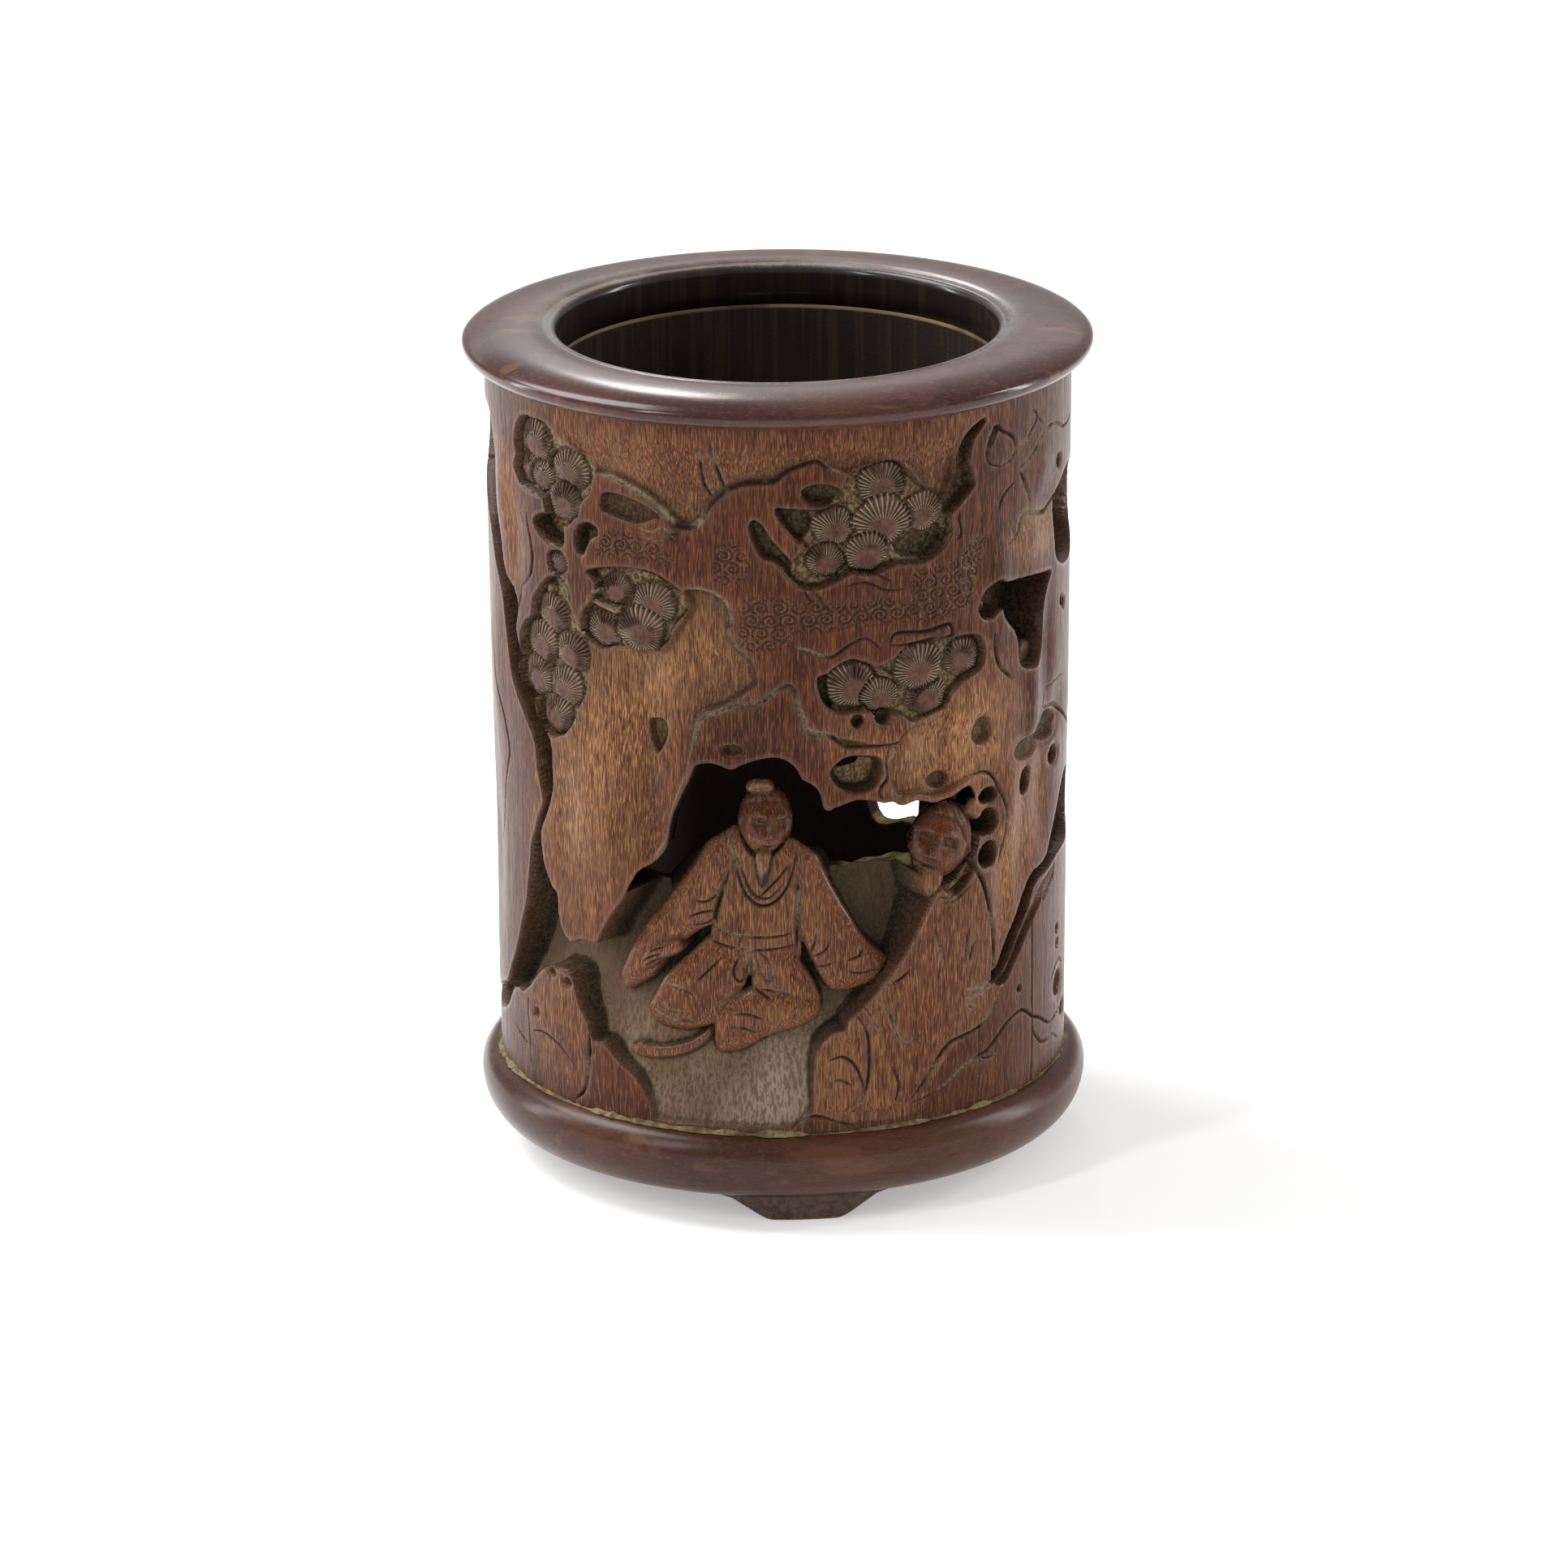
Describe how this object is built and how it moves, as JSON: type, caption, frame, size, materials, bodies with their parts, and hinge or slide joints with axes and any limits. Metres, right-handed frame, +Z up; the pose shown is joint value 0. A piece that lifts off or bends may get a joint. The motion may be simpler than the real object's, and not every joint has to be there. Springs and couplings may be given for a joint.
{
  "type": "brush holder pot",
  "caption": "Bamboo brush pot carved in deep relief with scholars under pines among pierced rocks, with a hardwood mouth ring and a hardwood base ring on bracket feet.",
  "frame": {"origin": "on the pot's axis, at the level of the feet's soles", "axes": "+Z up along the pot's axis, -Y towards the carving's main face"},
  "size_m": [0.1186, 0.1186, 0.16],
  "materials": {
    "bamboo": "aged red-brown bamboo, polished skin, fibrous cut faces, grime in the recesses",
    "rim_wood": "dark purple-brown hardwood, satin, dusty on the top",
    "base_wood": "dark brown hardwood, satin, fine level grain",
    "floor_wood": "dark brown hardwood, matt",
    "foot_wood": "dark brown hardwood, worn and dusty",
    "wax": "old yellow-green wax and glue, dull"
  },
  "bodies": {
    "root": {"bamboo_body": "bamboo", "rim_ring": "rim_wood", "base_ring": "base_wood", "floor_disc": "floor_wood", "foot_front": "foot_wood", "foot_rear_right": "foot_wood", "foot_rear_left": "foot_wood", "joint_wax": "wax"}
  },
  "joints": []
}
